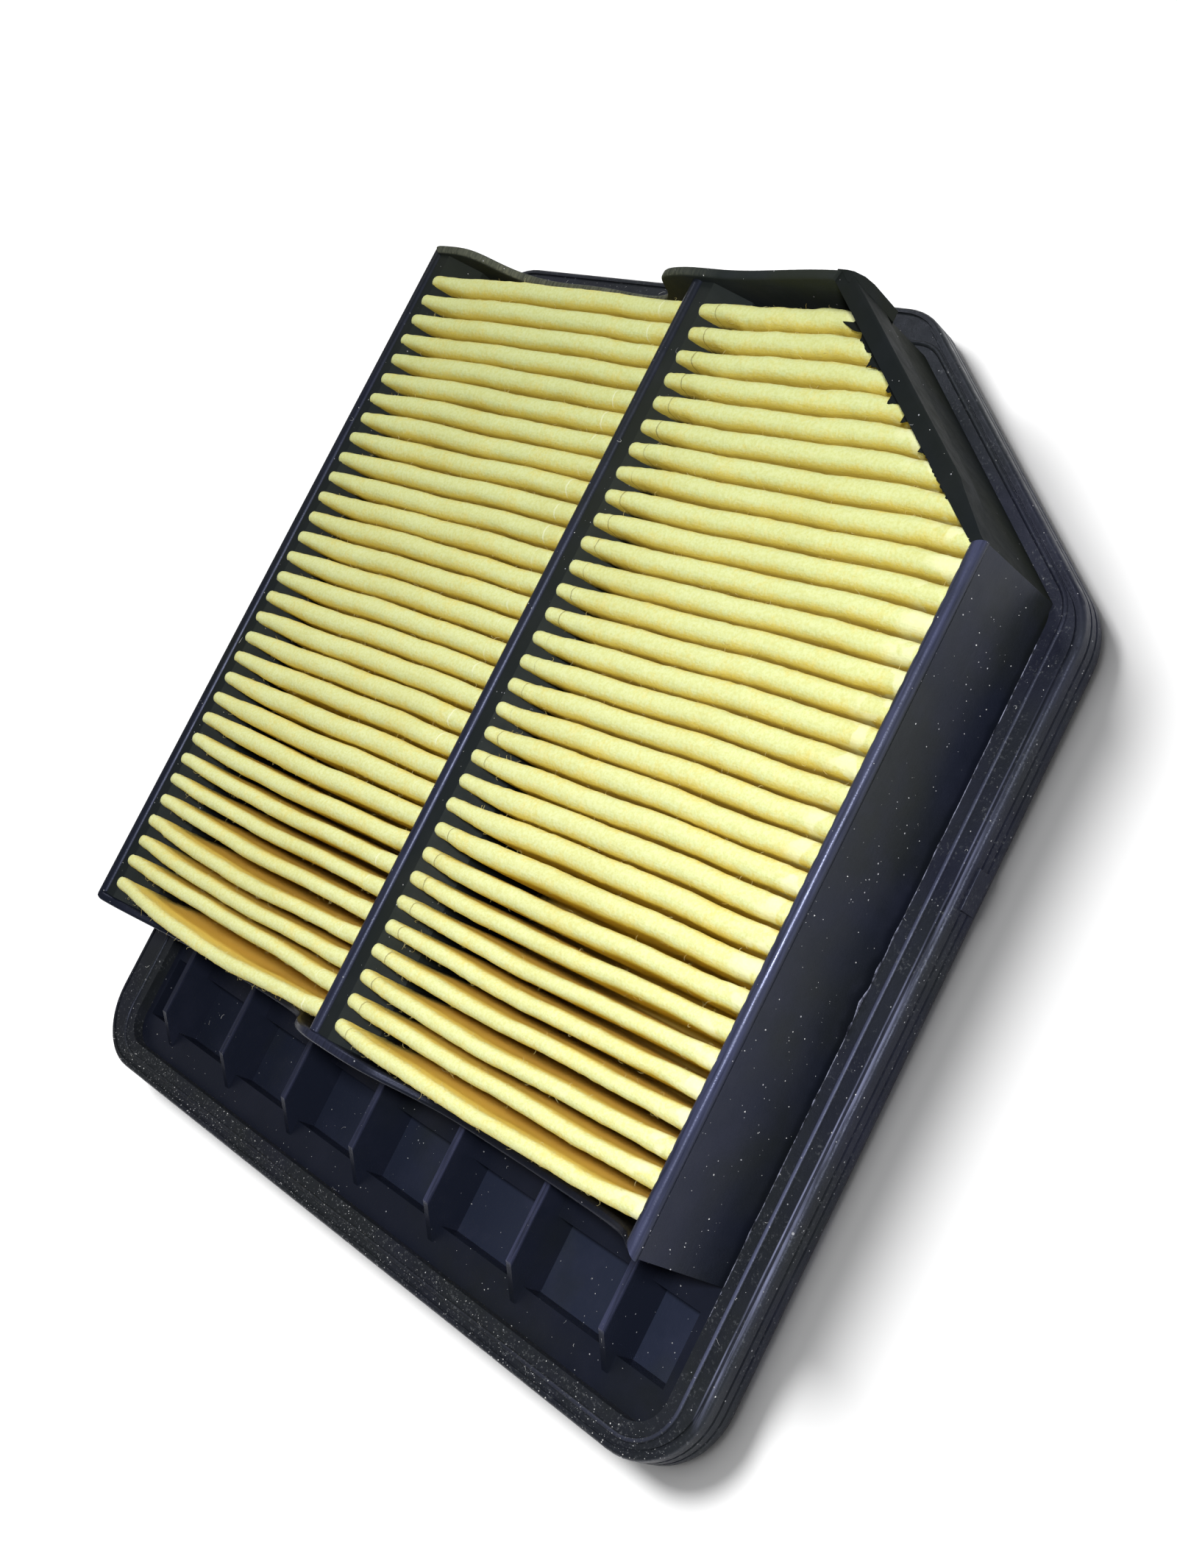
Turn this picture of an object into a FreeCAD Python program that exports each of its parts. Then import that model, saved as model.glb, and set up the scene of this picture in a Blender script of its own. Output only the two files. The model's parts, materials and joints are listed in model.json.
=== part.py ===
"""Panel air filter: moulded frame with a clipped corner, two cells of pleated media, rubber rim seal.

Row frame: millimetres, +Z up (the side the air enters), +Y towards the clipped end, origin at the
centre of the rim seal's outline on the plane that the seal's foot rests on.
"""
import FreeCAD
import Part
import math
import os

# Driving dimensions
SEAL_WIDTH = 210.4
SEAL_LENGTH = 222.0
SEAL_TOP = 9.1
SEAL_CORNER_R = 16.0
CLIP_SLOPE = 0.82
SEAL_CLIP_X = 67.5

TRAY_LEFT = -94.4
TRAY_RIGHT = 96.2
TRAY_LOW = -104.6
TRAY_CORNER_R = 7.0

BOX_LEFT = -95.3
BOX_RIGHT = 94.9
BOX_LOW = -76.7
BOX_HIGH = 100.6
BOX_CLIP_X = 54.5
WALL = 2.1
WALL_DRAFT = 1.0
WALL_CORNER_R = 2.6
BEAD_R = 1.5
CLIP_LIP = 1.6
CLIP_LIP_DEPTH = 6.0
CLIP_LIP_RUNOUT = 14.0

FRAME_TOP = 34.5
CORNER_RISE = 5.4
FRAME_FOOT = 0.8
PLATE_TOP = 6.4
PLATE = 2.0
PLATE_IN_SEAL = 3.4

RIB_X = -2.5
RIB = 2.4
COMB_REACH = 9.8
COMB_FLAT = 3.6
COMB_DROP_WALL = 0.9
COMB_DROP_END = 7.5

PLEAT_PITCH = 5.4
PLEAT_COUNT = 31
FIRST_PLEAT_Y = -70.3
PLEAT_TOP = 34.3
PLEAT_BOTTOM = 1.2
PLEAT_SHEET = 0.9
FOLD_HALF = 1.5

POCKET_HALF_WIDTH = 92.4
POCKET_Y = (-97.4, -82.7)
POCKET_FLOOR_TOP = 1.3
POCKET_SHEET = 1.1

FIN_COUNT = 7
FIN_SPACING = 26.5
FIN_MID_X = -0.2
FIN_SHEET = 1.5
FIN_TOP = 12.6
FIN_KINK_Y = -93.9
FIN_FOOT_Y = -101.0

LUG_REACH = 5.2
LUG_FOOT = 25.0

# Fine shape of the rim seal: a groove's (outer edge, inner edge, depth) count from the outline inward
SEAL_TOP_R = 0.9
SEAL_FOOT_R = 2.8
SEAL_TOP_GROOVE = (1.3, 1.9, 0.5)
SEAL_FOOT_GROOVE = (4.2, 6.4, 1.8)
SEAL_SIDE_GROOVES = ((0.6, 6.4), (0.4, 4.2))
SIDE_GROOVE_HALF = 0.3
SEAL_BEAD_IN = 3.1
SEAL_BEAD_R = 0.55
TAB_PROUD = 0.5
TAB_Y = (-0.5, 7.5)
TAB_Z = (3.1, 7.5)

# Teeth of flash over the pleat ends at the clipped wall
FLASH_COUNT = 5
FLASH_START = 5.5
FLASH_SPACING = 6.8
FLASH_RUN = 3.6
FLASH_REACH = 2.6
FLASH_SHEET = 1.0


def vec(x, y, z=0.0):
    return FreeCAD.Vector(x, y, z)


def write(name, shape):
    """Save one sub-part as parts/NAME.step and report its volume."""
    os.makedirs("parts", exist_ok=True)
    shape = shape.removeSplitter()
    shape.exportStep(os.path.join("parts", name + ".step"))
    print("%-22s solids %d  valid %s  volume %9.1f" % (name, len(shape.Solids), shape.isValid(), shape.Volume))


def block(low, high):
    """A box from its lowest to its highest corner."""
    return Part.makeBox(high[0] - low[0], high[1] - low[1], high[2] - low[2], vec(*low))


def prism(points, low, high):
    """A plan outline of straight sides, raised from z low to z high."""
    ring = [vec(x, y, low) for x, y in points]
    face = Part.Face(Part.makePolygon(ring + ring[:1]))
    return face.extrude(vec(0, 0, high - low))


def across_x(points, low, high):
    """A closed outline of (y, z) points, run along X from low to high."""
    ring = [vec(low, y, z) for y, z in points]
    face = Part.Face(Part.makePolygon(ring + ring[:1]))
    return face.extrude(vec(high - low, 0, 0))


def across_y(points, low, high):
    """A closed outline of (x, z) points, run along Y from low to high."""
    ring = [vec(x, low, z) for x, z in points]
    face = Part.Face(Part.makePolygon(ring + ring[:1]))
    return face.extrude(vec(0, high - low, 0))


def clipped_outline(left, right, low, high, clip_x):
    """Plan rectangle whose corner at +X, +Y is cut off at the frame's clip slope."""
    clip_y = clip_x * CLIP_SLOPE
    return [(left, low), (right, low), (right, high - clip_y), (right - clip_x, high), (left, high)]


def offset_outline(points, distance):
    """The outline moved outward, by one distance or one for each side; its points run anticlockwise."""
    count = len(points)
    distances = distance if isinstance(distance, tuple) else (distance,) * count
    lines = []
    for i in range(count):
        (ax, ay), (bx, by) = points[i], points[(i + 1) % count]
        length = math.hypot(bx - ax, by - ay)
        nx, ny = (by - ay) / length, -(bx - ax) / length
        lines.append((nx, ny, nx * ax + ny * ay + distances[i]))
    moved = []
    for i in range(count):
        (n1x, n1y, d1), (n2x, n2y, d2) = lines[i - 1], lines[i]
        det = n1x * n2y - n2x * n1y
        moved.append(((d1 * n2y - d2 * n1y) / det, (n1x * d2 - n2x * d1) / det))
    return moved


def rounded_wire(points, radius, z):
    """The outline as straight runs joined by tangent arcs, starting half way along its first side."""
    count = len(points)
    corners = []
    for i in range(count):
        here = vec(*points[i], z)
        to_last = (vec(*points[i - 1], z) - here).normalize()
        to_next = (vec(*points[(i + 1) % count], z) - here).normalize()
        half = to_last.getAngle(to_next) / 2
        reach = radius / math.tan(half)
        middle = (to_last + to_next).normalize() * (radius / math.sin(half) - radius)
        corners.append((here + to_last * reach, here + middle, here + to_next * reach))
    start = (corners[0][2] + corners[1][0]) * 0.5
    edges = [Part.makeLine(start, corners[1][0])]
    for i in range(1, count + 1):
        before, top, after = corners[i % count]
        edges.append(Part.Arc(before, top, after).toShape())
        goal = corners[(i + 1) % count][0] if i < count else start
        edges.append(Part.makeLine(after, goal))
    return Part.Wire(edges)


# Outlines shared by several sub-parts
SEAL_RIGHT = SEAL_WIDTH / 2 - TAB_PROUD
SEAL_OUTLINE = clipped_outline(-SEAL_WIDTH / 2, SEAL_RIGHT, -SEAL_LENGTH / 2, SEAL_LENGTH / 2, SEAL_CLIP_X)
BOX_OUTLINE = clipped_outline(BOX_LEFT, BOX_RIGHT, BOX_LOW, BOX_HIGH, BOX_CLIP_X)
BOX_INNER = offset_outline(BOX_OUTLINE, -WALL)
BOX_CLIP_Y = BOX_CLIP_X * CLIP_SLOPE
SEAL_INNER = clipped_outline(TRAY_LEFT, TRAY_RIGHT, TRAY_LOW, BOX_HIGH - 0.4, BOX_CLIP_X + 0.3)


def box_outer_solid():
    """Everything inside the walls' outer faces; the long and clipped walls lean out towards the foot."""
    foot = offset_outline(BOX_OUTLINE, (0.0, WALL_DRAFT, WALL_DRAFT, 0.0, 0.0))
    wires = []
    for outline, z in ((foot, FRAME_FOOT), (BOX_OUTLINE, FRAME_TOP + CORNER_RISE)):
        ring = [vec(x, y, z) for x, y in outline]
        wires.append(Part.makePolygon(ring + ring[:1]))
    return Part.makeLoft(wires, True, True)


def sector(index):
    """The region that belongs to one side of the box, bounded by its corner mitres."""
    count = len(BOX_OUTLINE)
    far_out = offset_outline(BOX_OUTLINE, 6.0)
    far_in = offset_outline(BOX_OUTLINE, -6.0)
    ends = (index, (index + 1) % count)
    outline = [far_out[ends[0]], far_out[ends[1]], far_in[ends[1]], far_in[ends[0]]]
    return prism(outline, -1.0, FRAME_TOP + 10.0)


def top_bead(index):
    """Round bead along the top of one side, proud of both faces of the wall."""
    middle = offset_outline(BOX_OUTLINE, -WALL / 2)
    a, b = middle[index], middle[(index + 1) % len(middle)]
    start = vec(*a, FRAME_TOP - BEAD_R)
    run = vec(*b, FRAME_TOP - BEAD_R) - start
    along = run.normalize() * 1.0
    length = math.hypot(b[0] - a[0], b[1] - a[1])
    return Part.makeCylinder(BEAD_R, length + 20.0, start - along * 10.0, along)


def corner_waste(y, inward):
    """What a round upright corner leaves out at one end of the left wall, above the seal."""
    low = SEAL_TOP + 0.3
    x, middle_y = BOX_LEFT + WALL_CORNER_R, y + inward * WALL_CORNER_R
    low_y, high_y = sorted((y - inward * 3.0, middle_y))
    waste = block((BOX_LEFT - 3.0, low_y, low), (x, high_y, FRAME_TOP + 10.0))
    return waste.cut(Part.makeCylinder(WALL_CORNER_R, FRAME_TOP + 12.0, vec(x, middle_y, low - 1.0)))


def wall_ring():
    """The five walls as one ring, before they are parted at the corners."""
    hollow = prism(BOX_INNER, -1.0, FRAME_TOP + 10.0)
    return box_outer_solid().cut(hollow)


def below_profile(points, low_y, high_y):
    """Material below a smooth top edge given by (x, z) points, run along Y."""
    knots = [vec(x, low_y, z) for x, z in points]
    curve = Part.BSplineCurve()
    curve.interpolate(knots)
    first, last = knots[0], knots[-1]
    corners = [last, vec(last.x, low_y, -2.0), vec(first.x, low_y, -2.0), first]
    below = [Part.makeLine(a, b) for a, b in zip(corners, corners[1:])]
    return Part.Face(Part.Wire([curve.toShape()] + below)).extrude(vec(0, high_y - low_y, 0))


def lower_wall_profile():
    """Top edge of the wall beside the tray: full height at both corners and at the rib, low between."""
    dip = FRAME_TOP - 15.5
    return [
        (BOX_LEFT - 3.0, FRAME_TOP),
        (BOX_LEFT + 4.0, FRAME_TOP - 0.8),
        (BOX_LEFT + 19.0, FRAME_TOP - 11.5),
        (BOX_LEFT + 38.0, dip),
        (RIB_X - 24.0, dip + 0.8),
        (RIB_X - 11.5, FRAME_TOP - 4.9),
        (RIB_X - 2.5, FRAME_TOP - 0.5),
        (RIB_X + 4.0, FRAME_TOP - 0.3),
        (RIB_X + 16.0, FRAME_TOP - 2.6),
        (RIB_X + 27.0, FRAME_TOP - 12.5),
        (RIB_X + 42.0, dip),
        (BOX_RIGHT - 26.0, dip + 0.2),
        (BOX_RIGHT - 13.0, FRAME_TOP - 11.6),
        (BOX_RIGHT - 5.0, FRAME_TOP - 4.4),
        (BOX_RIGHT + 3.0, FRAME_TOP - 0.4),
    ]


def upper_wall_profile():
    """Top edge of the far wall: a shoulder at the left corner, a long low sill, then full height."""
    sill = FRAME_TOP - 11.4
    return [
        (BOX_LEFT - 3.0, FRAME_TOP),
        (BOX_LEFT + 7.0, FRAME_TOP + 0.5),
        (BOX_LEFT + 14.0, FRAME_TOP - 0.7),
        (BOX_LEFT + 21.0, FRAME_TOP - 6.4),
        (BOX_LEFT + 32.0, sill + 0.6),
        (BOX_LEFT + 52.0, sill),
        (RIB_X - 20.0, sill + 0.2),
        (RIB_X - 15.0, FRAME_TOP - 7.0),
        (RIB_X - 12.0, FRAME_TOP - 1.4),
        (RIB_X - 7.0, FRAME_TOP + 0.8),
        (RIB_X + 8.0, FRAME_TOP + 1.6),
        (BOX_RIGHT - BOX_CLIP_X - 4.0, FRAME_TOP + CORNER_RISE - 0.2),
        (BOX_RIGHT - BOX_CLIP_X + 8.0, FRAME_TOP + CORNER_RISE),
    ]


def soften(shape, radius, wanted):
    """Round the edges that wanted(edge) picks, or leave the shape sharp where that can't be done."""
    edges = [edge for edge in shape.Edges if wanted(edge)]
    try:
        rounded = shape.makeFillet(radius, edges)
        if rounded.isValid() and rounded.Volume > 0:
            return rounded
    except Exception as problem:
        print("left sharp:", problem)
    return shape


def long_top_edge(edge):
    """True for the long edges of an end wall's top."""
    return edge.BoundBox.ZMin > FRAME_TOP - 19.0 and edge.Length > 20.0


def lip_edge(edge):
    """True for the outer top edge of the clipped wall's lip."""
    middle = edge.CenterOfMass
    out = (middle.x - BOX_RIGHT) * CLIP_SLOPE + (middle.y - BOX_HIGH) + BOX_CLIP_Y
    return edge.Length > 20.0 and middle.z > FRAME_TOP - 1.0 and out > CLIP_LIP


def end_wall(ring, index, profile, low_y, high_y):
    """One of the two shaped end walls."""
    blank = ring.common(sector(index))
    shaped = blank.common(below_profile(profile, low_y, high_y))
    return soften(shaped, 0.7, long_top_edge)


def side_wall(ring, index):
    """A straight wall with its rounded top bead."""
    blank = ring.common(sector(index))
    capped = blank.common(block((-200, -200, -2), (200, 200, FRAME_TOP - BEAD_R)))
    return capped.fuse(top_bead(index).common(sector(index)))


def inside_lip_runout():
    """Everything inside the slanting line on which the lip narrows to nothing at the right wall."""
    corner = (BOX_RIGHT, BOX_HIGH - BOX_CLIP_Y)
    along = math.atan2(CLIP_SLOPE, -1.0) - math.atan2(CLIP_LIP, CLIP_LIP_RUNOUT)
    far = (corner[0] + 150.0 * math.cos(along), corner[1] + 150.0 * math.sin(along))
    outline = [corner, far, (-200.0, far[1]), (-200.0, -200.0), (BOX_RIGHT, -200.0)]
    return prism(outline, 0.0, FRAME_TOP + 20.0)


def clip_wall(ring):
    """The wall across the clipped corner, with a lip outside its top, which climbs to the far wall."""
    blank = ring.common(sector(2))
    lip_outline = offset_outline(BOX_OUTLINE, (0.0, 0.0, CLIP_LIP, 0.0, 0.0))
    lip = prism(lip_outline, FRAME_TOP - CLIP_LIP_DEPTH, FRAME_TOP + CORNER_RISE)
    lip = lip.cut(box_outer_solid()).common(sector(2)).common(inside_lip_runout())
    near = BOX_HIGH - BOX_CLIP_Y - 8.0
    far = BOX_HIGH + 6.0
    top_near, top_far = FRAME_TOP - 0.2, FRAME_TOP + CORNER_RISE
    side = [(near, -2.0), (far, -2.0), (far, top_far), (near + 8.0, top_near), (near, top_near)]
    shaped = blank.fuse(lip).common(across_x(side, -200, 200)).removeSplitter()
    return soften(shaped, 0.6, lip_edge)


def corner_lug():
    """Short ear that carries the top of the far wall past the clipped corner, with a round shoulder."""
    start = BOX_RIGHT - BOX_CLIP_X
    top = FRAME_TOP + CORNER_RISE
    low_y, high_y = BOX_HIGH - WALL, BOX_HIGH + 0.2
    outline = [
        (start - 1.0, LUG_FOOT - 1.4),
        (start + LUG_REACH - 1.4, LUG_FOOT - 0.6),
        (start + LUG_REACH - 0.3, LUG_FOOT + 0.6),
        (start + LUG_REACH, top - 5.0),
        (start + LUG_REACH - 0.6, top - 2.4),
        (start + LUG_REACH - 2.2, top - 0.8),
        (start + LUG_REACH - 3.8, top - 0.4),
        (start - 1.0, top - 0.4),
    ]
    ear = across_y(outline, low_y, high_y)
    return ear.cut(box_outer_solid())


def center_rib():
    """Deep rib between the two cells, with a round bead on top."""
    low_y, high_y = BOX_LOW + WALL, BOX_HIGH - WALL
    web = block((RIB_X - RIB / 2, low_y, FRAME_FOOT), (RIB_X + RIB / 2, high_y, FRAME_TOP - BEAD_R))
    start = vec(RIB_X, low_y, FRAME_TOP - BEAD_R)
    bead = Part.makeCylinder(BEAD_R, high_y - low_y, start, vec(0, 1, 0))
    return web.fuse(bead)


def comb(wall_x):
    """Sloping strip that the left ends of a cell's pleats are moulded into."""
    reach = wall_x + COMB_REACH
    outline = [
        (wall_x, FRAME_FOOT),
        (reach, FRAME_FOOT),
        (reach, FRAME_TOP - COMB_DROP_END),
        (wall_x + COMB_FLAT, FRAME_TOP - COMB_DROP_WALL),
        (wall_x, FRAME_TOP - COMB_DROP_WALL),
    ]
    return across_y(outline, BOX_LOW + WALL, BOX_HIGH - WALL)


def pleat_section():
    """Outline of the folded sheet, with flat edges out to the walls: its upper face, then its lower one."""
    half = PLEAT_PITCH / 2
    inner = FOLD_HALF - PLEAT_SHEET
    upper, lower = [], []
    for i in range(PLEAT_COUNT):
        y = FIRST_PLEAT_Y + i * PLEAT_PITCH
        upper += [(y - half + inner, PLEAT_BOTTOM + PLEAT_SHEET), (y - FOLD_HALF, PLEAT_TOP)]
        upper += [(y + FOLD_HALF, PLEAT_TOP), (y + half - inner, PLEAT_BOTTOM + PLEAT_SHEET)]
        lower += [(y - half + FOLD_HALF, PLEAT_BOTTOM), (y - inner, PLEAT_TOP - PLEAT_SHEET)]
        lower += [(y + inner, PLEAT_TOP - PLEAT_SHEET), (y + half - FOLD_HALF, PLEAT_BOTTOM)]
    ends = [(BOX_HIGH, PLEAT_BOTTOM + PLEAT_SHEET), (BOX_HIGH, PLEAT_BOTTOM)]
    starts = [(BOX_LOW, PLEAT_BOTTOM), (BOX_LOW, PLEAT_BOTTOM + PLEAT_SHEET)]
    return upper + ends + lower[::-1] + starts


def media(low_x, high_x, comb_strip):
    """One cell's folded sheet, trimmed to the comb, the end walls and the clipped corner."""
    sheet = across_x(pleat_section(), low_x, high_x)
    room = prism(BOX_INNER, 0.0, FRAME_TOP)
    return sheet.common(room).cut(comb_strip)


def pocket_parts():
    """Sunken tray pocket: a floor and four low sides hanging from the flange plate."""
    w, t = POCKET_HALF_WIDTH, POCKET_SHEET
    y0, y1 = POCKET_Y
    foot = POCKET_FLOOR_TOP - t
    side = POCKET_FLOOR_TOP
    return {
        "pocket_floor": block((-w - t, y0 - t, foot), (w + t, y1 + t, POCKET_FLOOR_TOP)),
        "pocket_side_outer": block((-w - t, y0 - t, side), (w + t, y0, PLATE_TOP)),
        "pocket_side_inner": block((-w - t, y1, side), (w + t, y1 + t, PLATE_TOP)),
        "pocket_end_left": block((-w - t, y0, side), (-w, y1, PLATE_TOP)),
        "pocket_end_right": block((w, y0, side), (w + t, y1, PLATE_TOP)),
    }


def rounded_prism(outline, radius, low, high):
    """A plan outline with rounded corners, raised from z low to z high."""
    return Part.Face(rounded_wire(outline, radius, low)).extrude(vec(0, 0, high - low))


def flange_plate():
    """Flat plate around the box, with the pocket's opening; its edge sits inside the seal."""
    outline = offset_outline(SEAL_INNER, PLATE_IN_SEAL)
    plate = rounded_prism(outline, TRAY_CORNER_R + PLATE_IN_SEAL, PLATE_TOP - PLATE, PLATE_TOP)
    w, t = POCKET_HALF_WIDTH, POCKET_SHEET
    pocket = block((-w - t, POCKET_Y[0] - t, 0), (w + t, POCKET_Y[1] + t, PLATE_TOP + 1))
    return plate.cut(box_outer_solid()).cut(pocket)


def fin(x):
    """Stiffening fin across the tray, from the lower wall down to the ledge."""
    y0, y1 = POCKET_Y
    start = BOX_LOW + 1.0
    outline = [
        (start, PLATE_TOP),
        (start, FIN_TOP),
        (FIN_KINK_Y, FIN_TOP),
        (FIN_FOOT_Y, PLATE_TOP),
        (y0, PLATE_TOP),
        (y0, POCKET_FLOOR_TOP),
        (y1, POCKET_FLOOR_TOP),
        (y1, PLATE_TOP),
    ]
    web = across_x(outline, x - FIN_SHEET / 2, x + FIN_SHEET / 2)
    return web.cut(box_outer_solid())


def band(near, far, low, high):
    """A ring along the seal's outline, from near to far inside it and from z low to z high."""
    big = rounded_prism(offset_outline(SEAL_OUTLINE, -near), SEAL_CORNER_R - near, low, high)
    small = rounded_prism(offset_outline(SEAL_OUTLINE, -far), SEAL_CORNER_R - far, low - 1.0, high + 1.0)
    return big.cut(small)


def seal_body():
    """The seal's solid slab, rounded at its top and its foot and open in the middle."""
    body = rounded_prism(SEAL_OUTLINE, SEAL_CORNER_R, 0.0, SEAL_TOP)
    top_rim = [edge for edge in body.Edges if edge.BoundBox.ZMin > SEAL_TOP - 0.01]
    body = body.makeFillet(SEAL_TOP_R, top_rim)
    foot_rim = [edge for edge in body.Edges if edge.BoundBox.ZMax < 0.01]
    body = body.makeFillet(SEAL_FOOT_R, foot_rim)
    return body.cut(rounded_prism(SEAL_INNER, TRAY_CORNER_R, -1.0, SEAL_TOP + 1.0))


def seal_bead():
    """The round bead along the seal's top, just outside its opening."""
    path = rounded_wire(offset_outline(SEAL_INNER, SEAL_BEAD_IN), TRAY_CORNER_R + SEAL_BEAD_IN, SEAL_TOP - 0.1)
    ring = Part.Wire(Part.makeCircle(SEAL_BEAD_R, path.Vertexes[0].Point, vec(1, 0, 0)))
    return path.makePipeShell([ring], True, False)


def seal_ring():
    """Rubber rim seal, moulded over the flange plate's edge and up against the box."""
    body = seal_body()
    near, far, depth = SEAL_TOP_GROOVE
    body = body.cut(band(near, far, SEAL_TOP - depth, SEAL_TOP + 1.0))
    near, far, depth = SEAL_FOOT_GROOVE
    body = body.cut(band(near, far, -1.0, depth))
    for depth, height in SEAL_SIDE_GROOVES:
        body = body.cut(band(-1.0, depth, height - SIDE_GROOVE_HALF, height + SIDE_GROOVE_HALF))
    body = body.fuse(seal_bead())
    slot = offset_outline(SEAL_INNER, PLATE_IN_SEAL)
    body = body.cut(rounded_prism(slot, TRAY_CORNER_R + PLATE_IN_SEAL, PLATE_TOP - PLATE, PLATE_TOP))
    return body.cut(box_outer_solid())


def seal_tab():
    """Small moulding tab on the seal's right side."""
    tab = block((SEAL_RIGHT, TAB_Y[0], TAB_Z[0]), (SEAL_RIGHT + TAB_PROUD, TAB_Y[1], TAB_Z[1]))
    return soften(tab, 0.2, lambda edge: edge.BoundBox.XMin > SEAL_RIGHT + TAB_PROUD - 0.1)


def clip_flash():
    """Ragged teeth of moulding flash over the pleat ends along the clipped wall."""
    corner_x, corner_y = BOX_INNER[3]
    run = math.hypot(1.0, CLIP_SLOPE)
    along_x, along_y = 1.0 / run, -CLIP_SLOPE / run
    teeth = []
    for number in range(FLASH_COUNT):
        start = FLASH_START + number * FLASH_SPACING
        reach = FLASH_REACH * (1.0 - 0.1 * number)
        a = (corner_x + along_x * start, corner_y + along_y * start)
        b = (a[0] + along_x * FLASH_RUN, a[1] + along_y * FLASH_RUN)
        tip = (a[0] + along_x + along_y * reach, a[1] + along_y - along_x * reach)
        teeth.append(prism([a, tip, b], PLEAT_TOP - FLASH_SHEET, PLEAT_TOP))
    return Part.makeCompound(teeth)


def build():
    ring = wall_ring()
    corners = corner_waste(BOX_LOW, 1.0).fuse(corner_waste(BOX_HIGH, -1.0))
    lower = end_wall(ring, 0, lower_wall_profile(), BOX_LOW - 4.0, BOX_LOW + 8.0)
    upper = end_wall(ring, 3, upper_wall_profile(), BOX_HIGH - 8.0, BOX_HIGH + 4.0)
    write("wall_lower", lower.cut(corners))
    write("wall_right", side_wall(ring, 1))
    write("wall_clip", clip_wall(ring))
    write("wall_upper", upper.cut(corners))
    write("wall_left", side_wall(ring, 4).cut(corners))
    write("corner_lug", corner_lug())
    write("center_rib", center_rib())
    left_start, right_start = BOX_LEFT + WALL, RIB_X + RIB / 2
    comb_left, comb_right = comb(left_start), comb(right_start)
    write("comb_left", comb_left)
    write("comb_right", comb_right)
    write("media_left", media(left_start, RIB_X - RIB / 2, comb_left))
    write("media_right", media(right_start, BOX_RIGHT - WALL, comb_right))
    write("flange_plate", flange_plate())
    for name, shape in pocket_parts().items():
        write(name, shape)
    for number in range(FIN_COUNT):
        x = FIN_MID_X + (number - (FIN_COUNT - 1) / 2) * FIN_SPACING
        write("tray_fin_%d" % (number + 1), fin(x))
    write("seal_ring", seal_ring())
    write("seal_tab", seal_tab())
    write("clip_flash", clip_flash())


build()
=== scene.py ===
"""Looks of the panel air filter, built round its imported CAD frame. Metres, row frame, Z up."""
import json
import math

import bpy
import numpy as np
from mathutils import Matrix, Vector
from mathutils.bvhtree import BVHTree


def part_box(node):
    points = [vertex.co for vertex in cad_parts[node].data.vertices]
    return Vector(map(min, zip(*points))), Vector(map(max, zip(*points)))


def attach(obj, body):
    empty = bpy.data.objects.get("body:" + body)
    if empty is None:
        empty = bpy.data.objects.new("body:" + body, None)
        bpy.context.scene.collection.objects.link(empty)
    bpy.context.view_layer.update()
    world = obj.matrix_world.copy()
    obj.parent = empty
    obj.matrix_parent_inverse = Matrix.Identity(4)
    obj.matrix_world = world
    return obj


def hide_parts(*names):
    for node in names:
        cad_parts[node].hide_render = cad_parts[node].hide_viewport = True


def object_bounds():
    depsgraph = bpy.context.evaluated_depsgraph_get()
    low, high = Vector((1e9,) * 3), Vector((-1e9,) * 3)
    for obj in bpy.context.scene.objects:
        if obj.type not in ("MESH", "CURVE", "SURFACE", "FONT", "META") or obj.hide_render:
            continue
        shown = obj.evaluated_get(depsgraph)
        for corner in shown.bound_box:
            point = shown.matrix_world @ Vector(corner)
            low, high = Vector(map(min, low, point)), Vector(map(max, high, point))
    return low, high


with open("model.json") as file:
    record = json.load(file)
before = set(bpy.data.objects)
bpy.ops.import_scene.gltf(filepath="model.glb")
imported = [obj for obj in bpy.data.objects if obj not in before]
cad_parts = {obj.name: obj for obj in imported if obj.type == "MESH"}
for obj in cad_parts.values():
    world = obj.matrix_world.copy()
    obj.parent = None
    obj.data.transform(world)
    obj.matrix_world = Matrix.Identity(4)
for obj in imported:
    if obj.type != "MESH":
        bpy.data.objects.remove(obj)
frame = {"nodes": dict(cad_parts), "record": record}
cad_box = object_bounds()
slots = {part["node"]: part["material_slot"] for part in frame["record"]["subparts"]}
MM = 0.001

# Camera: where it stands and what it looks at, in metres, its roll in degrees, and its lens in millimetres
CAMERA_AT = Vector((0.28503, -0.03483, 0.27598))
CAMERA_AIM = Vector((0.00144, -0.00381, 0.0))
CAMERA_ROLL = -58.846
CAMERA_LENS = 42.427

# Pleats, in millimetres; distances along a pleat are from the wall or rib that its comb stands on
PLEATS = 31
PITCH = 5.4
SHEET = 0.85
TIP_Z = 34.3
VALLEY_Z = 2.1
VALLEY_HALF = 0.6
FINGER_HALF = 1.48  # half-width of the narrow ends held in the comb
SLIM_HALF = 1.6  # half-width of the opened folds beside the tray
FULL_HALF = 2.36  # half-width of all the other folds
RAMP_RISE = 6.0  # how much higher the valleys are at the comb
COMB_END = 9.0
COMB_SHADE_END = 21.0
RAMP_END = 27.0
SQUARE_END = 12.0  # up to here no pleat is shortened by the clipped wall
OUTLINE = 24  # points of one fold's outline
SHOULDER_POINTS = (7, 8, 9, 15, 16, 17)  # those on either side of its crown

# The clipped wall's inner face: a line from the right wall's inner corner, falling back by its slope
CLIP_CORNER = (92.8, 54.9)
CLIP_SLOPE = 0.82

# How many loose fibres each cell's felt is given, before those beyond the clipped wall are left out
FIBRES = 650

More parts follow.
